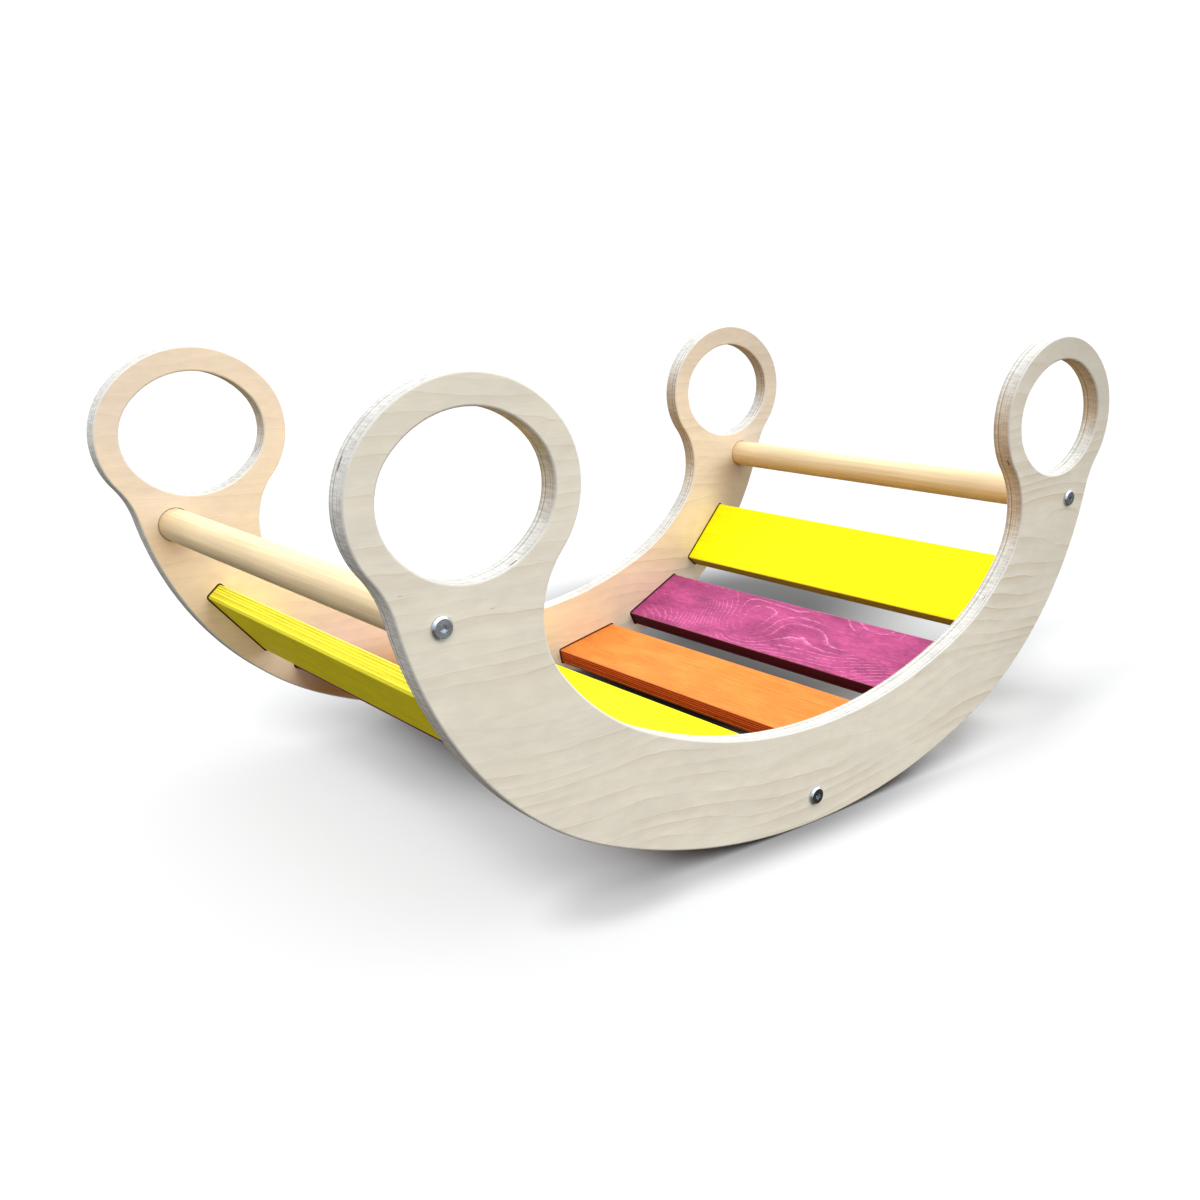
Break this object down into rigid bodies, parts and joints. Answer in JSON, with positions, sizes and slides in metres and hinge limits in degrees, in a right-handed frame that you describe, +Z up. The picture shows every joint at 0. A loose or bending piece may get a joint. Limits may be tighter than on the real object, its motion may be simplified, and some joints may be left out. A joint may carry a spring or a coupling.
{
  "type": "balance rocker",
  "caption": "Children's balance rocker: curved plywood sides ending in oval hand rings, joined by coloured slats and round rails. It rocks on the sides' lower edges.",
  "frame": {"origin": "on the floor under the middle of the rocker, level on its runners", "axes": "+X along the rocker towards its right end, +Y across it towards the rear panel, +Z up"},
  "size_m": [0.901, 0.5, 0.4195],
  "materials": {
    "birch_plywood": "clear satin oil on birch plywood",
    "rail_wood": "clear satin oil on turned beech",
    "yellow_slat": "yellow water stain, satin",
    "purple_slat": "plum water stain, satin",
    "orange_slat": "orange water stain, satin",
    "zinc_bolt": "bright zinc plated",
    "steel_insert": "zinc plated"
  },
  "bodies": {
    "root": {"front_side_panel": "birch_plywood", "rear_side_panel": "birch_plywood", "left_end_slat": "yellow_slat", "left_middle_slat": "purple_slat", "left_inner_slat": "orange_slat", "centre_slat": "yellow_slat", "right_inner_slat": "orange_slat", "right_middle_slat": "purple_slat", "right_end_slat": "yellow_slat", "left_rail": "rail_wood", "right_rail": "rail_wood", "left_rail_bolts": "zinc_bolt", "left_rail_inserts": "steel_insert", "centre_slat_bolts": "zinc_bolt", "centre_slat_inserts": "steel_insert", "right_rail_bolts": "zinc_bolt", "right_rail_inserts": "steel_insert"}
  },
  "joints": []
}
